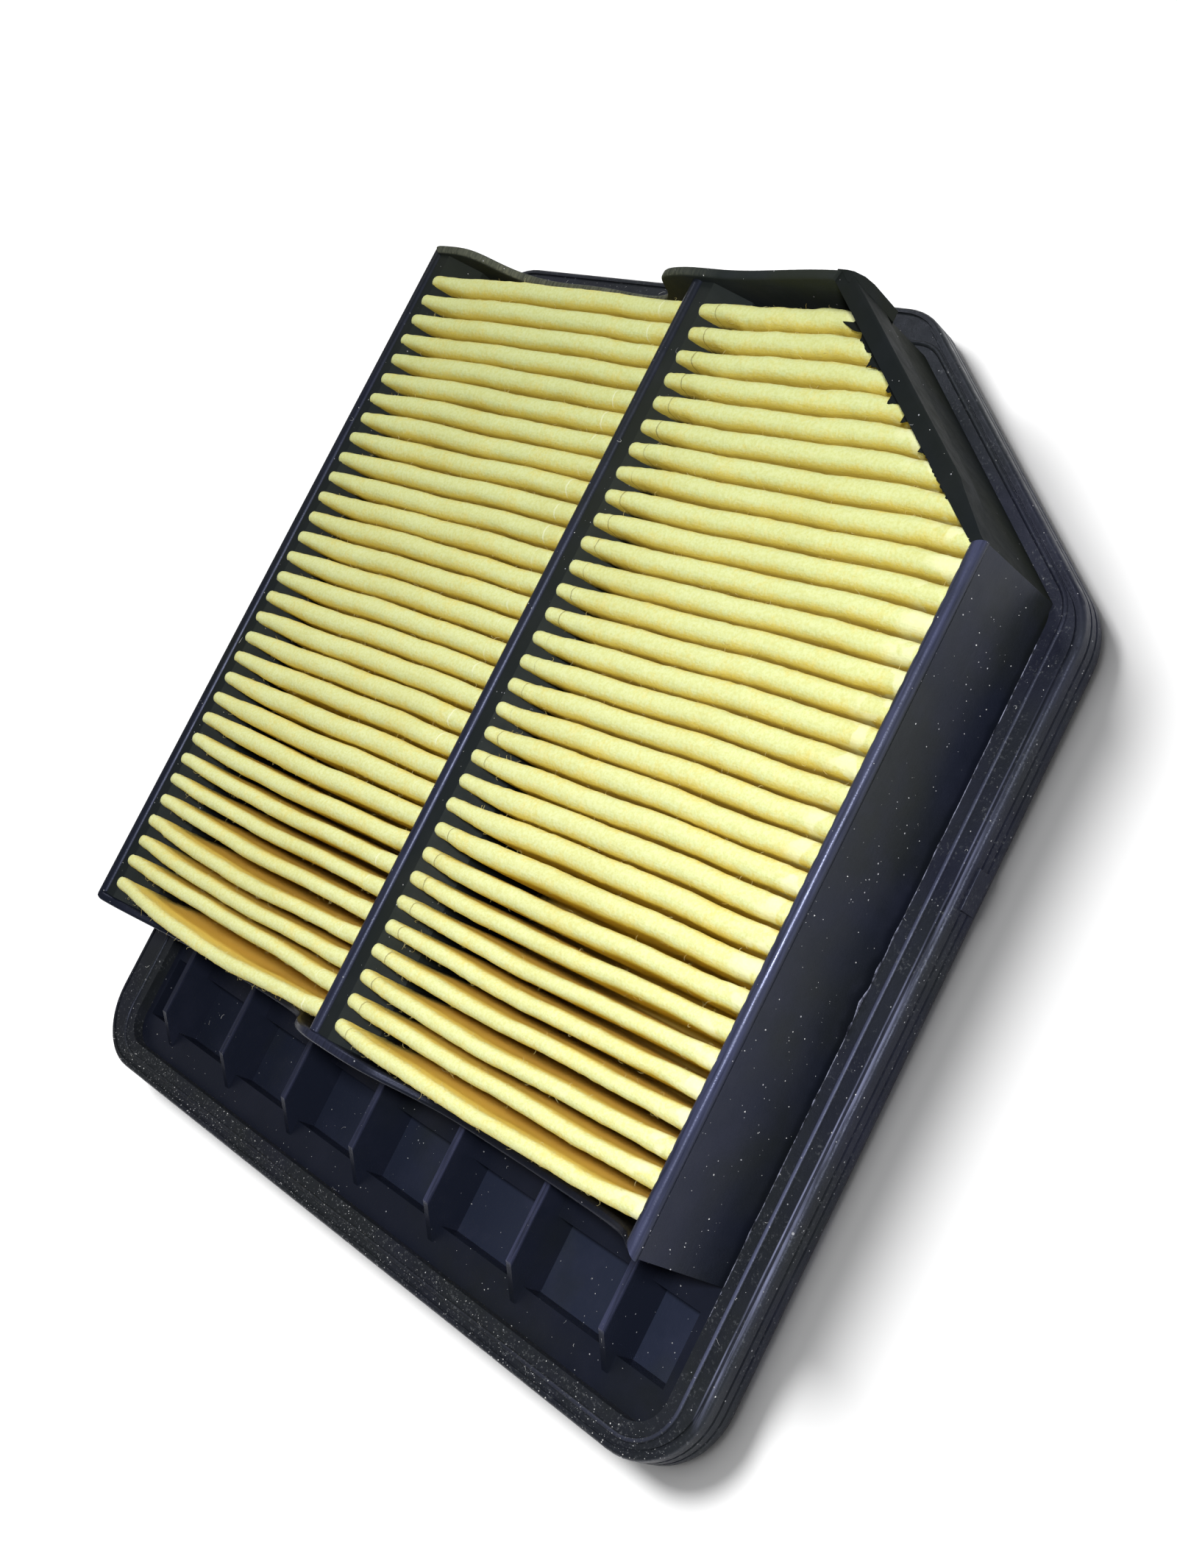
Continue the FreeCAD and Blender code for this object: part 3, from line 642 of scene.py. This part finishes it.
def tube_mesh(name, paths, radii):
    """Closed three-sided tubes along many short paths, given as count, step and place."""
    count, steps, _ = paths.shape
    along = np.gradient(paths, axis=1)
    along = along / np.linalg.norm(along, axis=2, keepdims=True)
    side = np.cross(along, np.array([0.31, 0.52, 0.79]))
    side = side / np.linalg.norm(side, axis=2, keepdims=True)
    other = np.cross(along, side)
    taper = radii[:, None, None] * np.linspace(1.0, 0.45, steps)[None, :, None]
    angles = (0.0, math.tau / 3, 2 * math.tau / 3)
    rings = [paths + taper * (math.cos(a) * side + math.sin(a) * other) for a in angles]
    points = np.stack(rings, axis=2).reshape(-1, 3) * MM
    index = np.arange(count * steps * 3).reshape(count, steps, 3)
    after = np.roll(index, -1, axis=2)
    quads = np.stack([index[:, :-1], after[:, :-1], after[:, 1:], index[:, 1:]], axis=-1).reshape(-1, 4)
    caps = np.concatenate([index[:, 0, ::-1], index[:, -1, :]])
    mesh = bpy.data.meshes.new(name)
    mesh.from_pydata(points.tolist(), [], quads.tolist() + caps.tolist())
    mesh.shade_smooth()
    return mesh


def grain_mesh(name, centres, sizes, rng):
    """Closed uneven eight-sided grains."""
    corners = np.array([(1, 0, 0), (-1, 0, 0), (0, 1, 0), (0, -1, 0), (0, 0, 1), (0, 0, -1)], dtype=float)
    turned = np.linalg.qr(rng.normal(size=(len(centres), 3, 3)))[0]
    turned = turned * np.sign(np.linalg.det(turned))[:, None, None]
    reach = rng.uniform(0.6, 1.3, (len(centres), 6, 1)) * sizes[:, None, None]
    points = centres[:, None, :] + np.einsum("nij,kj->nki", turned, corners) * reach
    upper = [(0, 2, 4), (2, 1, 4), (1, 3, 4), (3, 0, 4)]
    lower = [(2, 0, 5), (1, 2, 5), (3, 1, 5), (0, 3, 5)]
    sides = np.array(upper + lower)
    faces = (np.arange(len(centres))[:, None, None] * 6 + sides[None]).reshape(-1, 3)
    mesh = bpy.data.meshes.new(name)
    mesh.from_pydata((points.reshape(-1, 3) * MM).tolist(), [], faces.tolist())
    return mesh


def clip_line(y):
    """X of the clipped wall's inner face at each y."""
    return CLIP_CORNER[0] - (y - CLIP_CORNER[1]) / CLIP_SLOPE


def no_clip(y):
    """X of a wall so far out that it shortens no pleat."""
    return np.full(y.shape, 1000.0)


def make_cells():
    """The two cells' folds. The right one's ends are pressed flat, and cut off by the clipped wall."""
    left = Cell(
        "media_left", finger=1.7, bows=(-2.6, -0.3, -1.3, -1.9, -1.0, -0.9, -1.0, -1.1, -0.6, -0.4, -0.3),
        drift=0.15, first_y=-70.3, pitch=PITCH, clip=no_clip, pressed=0.0, seed=11)
    right = Cell(
        "media_right", finger=3.0, bows=(-1.9, -1.1, -1.4, -0.9, -0.8, -0.95, -0.85, -0.9, -0.3),
        drift=1.3, first_y=-70.6, pitch=5.43, clip=clip_line, pressed=1.0, seed=23)
    return left, right


def loose_fibres(upper, count, rng):
    """Paths of fibres that stand out of the ridges' shoulders, mostly over the open lower folds."""
    x, y, z = upper[:3]
    rows = rng.integers(13, x.shape[0] - 3, count)
    pleat = np.minimum((rng.random(count) ** 1.5 * PLEATS).astype(int), PLEATS - 1)
    spot = rng.choice(SHOULDER_POINTS, count)
    column = 1 + pleat * OUTLINE + spot
    at = np.stack([x[rows, column], y[rows, column], z[rows, column]], axis=-1)
    outward = np.where(spot < 12, -1.0, 1.0)
    heading = np.stack([rng.normal(0.0, 0.9, count), outward * rng.uniform(0.2, 0.9, count),
                        rng.uniform(-0.2, 0.8, count)], axis=-1)
    curl = rng.normal(0.0, 0.55, (count, 3))
    steps = [at - 0.1 * heading]
    for _ in range(5):
        heading = heading / np.linalg.norm(heading, axis=1, keepdims=True)
        steps.append(steps[-1] + heading * rng.uniform(0.12, 0.42, (count, 1)))
        heading = heading + np.cross(curl, heading) + rng.normal(0.0, 0.15, (count, 3))
    paths = np.stack(steps, axis=1)
    paths[..., 2] = np.minimum(paths[..., 2], TIP_Z + 0.5)
    return paths


def make_media(material, fibre):
    """Both cells' felt, each with its loose fibres."""
    made = []
    for cell in make_cells():
        (upper, lower), pressed, soaked = fold_sheet(cell)
        x, y, z, below = upper
        z += felt_lumps(x, y, z, cell.seed) * smooth(z, 20.0, 30.0)
        y += felt_lumps(y, z, x, cell.seed + 1) * smooth(z, 20.0, 30.0)
        mesh = sheet_mesh(cell.name, upper, lower, below_tip=(below, lower[3]), pressed=(pressed, pressed),
                          soaked=(soaked, soaked))
        piece = add_object(cell.name, mesh, material, (cell.node,))
        rng = np.random.default_rng(cell.seed + 2)
        paths = loose_fibres(upper, FIBRES, rng)
        paths = paths[(paths[..., 0] < clip_line(paths[..., 1]) - 0.5).all(axis=1)]
        hairs = tube_mesh(cell.name + "_fibres", paths, rng.uniform(0.022, 0.04, len(paths)))
        made += [piece, add_object(cell.name + "_fibres", hairs, fibre)]
    return made


class Skin:
    """The plastic and rubber nodes' faces, for finding places on them."""

    def __init__(self):
        corners, faces = [], []
        for name, node in frame["nodes"].items():
            if slots[name] == "filter_media":
                continue
            start = len(corners)
            corners += [v.co.copy() for v in node.data.vertices]
            faces += [[start + i for i in face.vertices] for face in node.data.polygons]
        self.tree = BVHTree.FromPolygons(corners, faces)

    def hit(self, start, way):
        """The first place met from a start in a direction, in millimetres, or None."""
        place = self.tree.ray_cast(Vector(start) * MM, Vector(way))[0]
        return None if place is None else np.array(place) / MM

    def below(self, x, y):
        return self.hit((x, y, 60.0), (0.0, 0.0, -1.0))


def over_media(place):
    """Whether a place found from above is down between the walls, where felt covers it."""
    x, y, z = place
    return -94.0 < x < 94.0 and -75.0 < y < 100.0 and z < 25.0 and x < clip_line(y) + 1.0


def dust_places(skin, rng):
    """Places for grains: all over the filter, more along the seal's low side, and the right wall's face."""
    for _ in range(GRAINS_ALL_OVER):
        place = skin.below(rng.uniform(-RIM_X, RIM_X), rng.uniform(-RIM_Y, RIM_Y))
        if place is not None and not over_media(place):
            yield place
    for _ in range(GRAINS_LOW_SIDE):
        place = skin.below(rng.uniform(-RIM_X, RIM_X), rng.uniform(-RIM_Y, -104.5))
        if place is not None:
            yield place
    for _ in range(GRAINS_RIGHT_WALL):
        place = skin.hit((130.0, rng.uniform(-76.0, 54.0), rng.uniform(9.5, 33.0)), (-1.0, 0.0, 0.0))
        if place is not None:
            yield place


def make_dust(skin, material):
    """Grains of dust on the frame and the seal, thicker on the seal, and short lint lying on both."""
    rng = np.random.default_rng(5)
    centres = np.array(list(dust_places(skin, rng)))
    sizes = 0.05 + 0.13 * rng.random(len(centres)) ** 3
    add_object("dust_grains", grain_mesh("dust_grains", centres, sizes, rng), material)
    paths = []
    while len(paths) < LINT:
        at = (rng.uniform(1.0 - RIM_X, RIM_X - 1.0), rng.uniform(1.0 - RIM_Y, RIM_Y - 1.0))
        path = lint_path(skin, at, rng.uniform(0.0, math.tau), rng.uniform(0.6, 2.4), rng.normal(0.0, 0.5))
        if path is not None:
            paths.append(path)
    long_paths = [lint_path(skin, *thread) for thread in LONG_LINT]
    paths = np.array(paths + [path for path in long_paths if path is not None])
    mesh = tube_mesh("lint", paths, rng.uniform(0.03, 0.06, len(paths)))
    add_object("lint", mesh, material)


def lint_path(skin, at, heading, length, turn):
    """A short curved thread laid on whatever is below it, or None where that isn't one smooth surface."""
    steps = 8
    path = []
    for _ in range(steps):
        place = skin.below(*at)
        if place is None or over_media(place):
            return None
        if path and abs(place[2] - path[-1][2]) > 0.25:
            return None
        path.append(place)
        at = np.array(at) + length / steps * np.array([math.cos(heading), math.sin(heading)])
        heading += turn
    path = np.array(path)
    path[:, 2] += 0.04
    return path


def torn_edge(name, base, outward, reach, thick, material, replaced=()):
    """A thin ragged strip: base points, unit directions in which it stands out, and its reach at each."""
    shares = np.array([-0.15, 0.4, 0.75, 1.0])
    rooted = np.array([-0.25, 0.0, 0.0, 0.0])
    thinning = np.array([1.0, 0.9, 0.6, 0.25])
    normal = np.cross(np.gradient(base, axis=0), outward)
    normal = normal / np.linalg.norm(normal, axis=1, keepdims=True)
    middle = base[:, None, :] + outward[:, None, :] * (reach[:, None] * shares + rooted)[..., None]
    faces = []
    for lift in (0.5, -0.5):
        spots = middle + normal[:, None, :] * (lift * thick * thinning)[None, :, None]
        faces.append((spots[..., 0], spots[..., 1], spots[..., 2]))
    add_object(name, sheet_mesh(name, faces[0], faces[1]), material, replaced)


def tooth(y, middle, length, half):
    """How far one pointed tooth of flash stands out at each y."""
    return length * np.clip(1.0 - np.abs(y - middle) / half, 0.0, 1.0)


def make_clip_flash(material, rng):
    """Torn flash over the pleat ends at the clipped wall, with one long spike of it."""
    y = np.linspace(96.5, 62.0, 150)
    base = np.stack([clip_line(y) + 0.25, y, np.full(y.size, CLIP_FLASH_Z)], axis=-1)
    inward = np.array([-CLIP_SLOPE, -1.0, 0.0]) / math.hypot(CLIP_SLOPE, 1.0)
    outward = np.tile(inward + np.array([0.0, 0.0, 0.02]), (y.size, 1))
    reach = 0.25 + 0.35 * rng.random(y.size)
    for place in FLASH_TEETH:
        reach += tooth(y, *place) * (0.85 + 0.3 * rng.random(y.size))
    spike_y, spike_length, spike_half = FLASH_SPIKE
    near = tooth(y, spike_y, 1.0, spike_half)
    reach += spike_length * near ** 1.4
    outward += near[:, None] * (np.array([-1.0, 0.04, 0.02]) - outward)
    torn_edge("clip_wall_flash", base, outward, reach, 0.3, material, ("clip_flash",))


def make_lip_flash(material, rng):
    """Thin flash along the seal's inner lip on the right-hand side."""
    y = np.linspace(-84.0, 50.0, 420)
    base = np.stack([np.full(y.size, LIP_X), y, np.full(y.size, LIP_Z)], axis=-1)
    outward = np.tile(np.array([0.30, 0.0, 0.954]), (y.size, 1))
    wide = np.convolve(rng.random(y.size), np.ones(9) / 9.0, mode="same")
    reach = 0.10 + 0.9 * np.clip(wide - 0.42, 0.0, 1.0) * smooth(y, -84.0, -60.0) + 0.12 * rng.random(y.size)
    for place in LIP_TEETH:
        reach += tooth(y, *place)
    torn_edge("seal_lip_flash", base, outward, reach, 0.16, material)


def make_floor():
    mesh = bpy.data.meshes.new("floor")
    half = FLOOR_HALF
    corners = [(-half, -half, 0), (half, -half, 0), (half, half, 0), (-half, half, 0)]
    mesh.from_pydata(corners, [], [(0, 1, 2, 3)])
    mesh.materials.append(floor_look())
    floor = bpy.data.objects.new("floor", mesh)
    floor.location.z = cad_box[0].z - FLOOR_GAP
    bpy.context.collection.objects.link(floor)
    return floor


def make_backdrop():
    """A white studio wall far behind the filter; it lights nothing and is in no reflection."""
    look = Look("backdrop_look")
    tone = look.noise(0.2, 2.0)
    white = look.mix(tone, rgb(1.0, 1.0, 1.0), rgb(1.02, 1.02, 1.02))
    look.set(Base_Color=rgb(0.0, 0.0, 0.0), Emission_Color=white, Emission_Strength=1.0)
    sides = 64
    turns = np.linspace(0.0, math.tau, sides, endpoint=False)
    ring = [(FLOOR_HALF * math.cos(a), FLOOR_HALF * math.sin(a)) for a in turns]
    points = [(x, y, z) for z in (-FLOOR_HALF, FLOOR_HALF) for x, y in ring]
    faces = [(k, (k + 1) % sides, (k + 1) % sides + sides, k + sides) for k in range(sides)]
    mesh = bpy.data.meshes.new("backdrop")
    mesh.from_pydata(points, [], faces)
    mesh.materials.append(look.material)
    backdrop = bpy.data.objects.new("backdrop", mesh)
    bpy.context.collection.objects.link(backdrop)
    for way in ("diffuse", "glossy", "transmission", "volume_scatter", "shadow"):
        setattr(backdrop, "visible_" + way, False)


def make_light(name, at, size, power, tint=(1.0, 1.0, 1.0)):
    """A round soft lamp that points at the filter."""
    data = bpy.data.lights.new(name, "AREA")
    data.shape = "DISK"
    data.size = size
    data.energy = power
    data.color = tint
    lamp = bpy.data.objects.new(name, data)
    lamp.location = at
    lamp.rotation_mode = "QUATERNION"
    lamp.rotation_quaternion = (Vector(LAMPS_AIM) - Vector(at)).to_track_quat("-Z", "Y")
    bpy.context.collection.objects.link(lamp)
    return lamp


def make_sun(name, towards, spread, strength):
    """An even light from one direction over the whole floor."""
    data = bpy.data.lights.new(name, "SUN")
    data.angle = spread
    data.energy = strength
    lamp = bpy.data.objects.new(name, data)
    lamp.rotation_mode = "QUATERNION"
    lamp.rotation_quaternion = (-Vector(towards)).to_track_quat("-Z", "Y")
    bpy.context.collection.objects.link(lamp)
    return lamp


def receivers(name, objects, state="INCLUDE"):
    """A collection for light linking: a lamp lights only these objects, or all but these."""
    collection = bpy.data.collections.new(name)
    for number, member in enumerate(objects):
        collection.objects.link(member)
        collection.collection_objects[number].light_linking.link_state = state
    return collection


def make_lights(floor, felt):
    """A sun and a fill on the floor alone, window light that is stronger on the felt than on the plastic and
    rubber, and a small flash lamp on the filter alone."""
    world = bpy.data.worlds.new("studio")
    world.use_nodes = True
    sky = world.node_tree.nodes["Background"].inputs
    sky["Color"].default_value = rgb(1.0, 1.0, 1.0)
    sky["Strength"].default_value = 0.215
    bpy.context.scene.world = world
    key = make_sun("key", SUN_FROM, spread=0.46, strength=4.2)
    fill = make_light("fill", FILL_AT, size=1.4, power=6.0)
    window = make_light("window", WINDOW_AT, size=0.55, power=23.0)
    side = make_light("side", WINDOW_AT, size=0.55, power=8.0)
    flash = make_light("flash", FLASH_AT, size=0.06, power=2.15, tint=(0.95, 0.97, 1.0))
    ground = receivers("ground", [floor])
    key.light_linking.receiver_collection = ground
    fill.light_linking.receiver_collection = ground
    window.light_linking.receiver_collection = receivers("felt", felt)
    side.light_linking.receiver_collection = receivers("plastic_and_rubber", [floor] + felt, "EXCLUDE")
    flash.light_linking.receiver_collection = receivers("filter", [floor], "EXCLUDE")


def dress_nodes(media, matt):
    """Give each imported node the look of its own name's start, or else of its material slot."""
    # painted light and painted shade: these plastic looks are lit and shaded copies of one plastic, paler or
    # darker through pale, less blue through cool
    far_wall = plastic_look("far_wall_look", painted_light_shoulder, LIT_OLIVE, pale=2.6, cool=0.65, gloss=0.04,
                            rough=(0.56, 0.70))
    looks = {
        "frame_plastic": plastic_look("frame_plastic_look", highlight_rims),
        "seal_rubber": rubber_look(),
        "filter_media": media,
        "wall_clip": matt,
        "corner_lug": matt,
        "wall_upper": far_wall,
        "comb_": plastic_look("comb_plastic_look", pale=1.8, cool=0.6, gloss=0.10, rough=(0.5, 0.62)),
        "tray_fin": plastic_look("fin_plastic_look", highlight_fins, pale=1.3),
        "pocket_floor": plastic_look("pocket_plastic_look", pale=2.5, painted_shade_left=0.5),
    }
    for name, node in frame["nodes"].items():
        own = [key for key in looks if name.startswith(key)]
        for place in node.material_slots:
            place.material = looks[own[0] if own else slots[name]]


make_camera()
media = media_look()
# painted light: the matt look is a paler, less blue copy of the plastic, with less gloss
matt = plastic_look("matt_plastic_look", pale=1.25, cool=0.65, gloss=0.04, rough=(0.56, 0.70))
dress_nodes(media, matt)
felt = make_media(media, fibre_look())
flash_rng = np.random.default_rng(31)
make_clip_flash(matt, flash_rng)
make_lip_flash(flash_look(), flash_rng)
make_dust(Skin(), dust_look())
make_backdrop()
make_lights(make_floor(), felt)
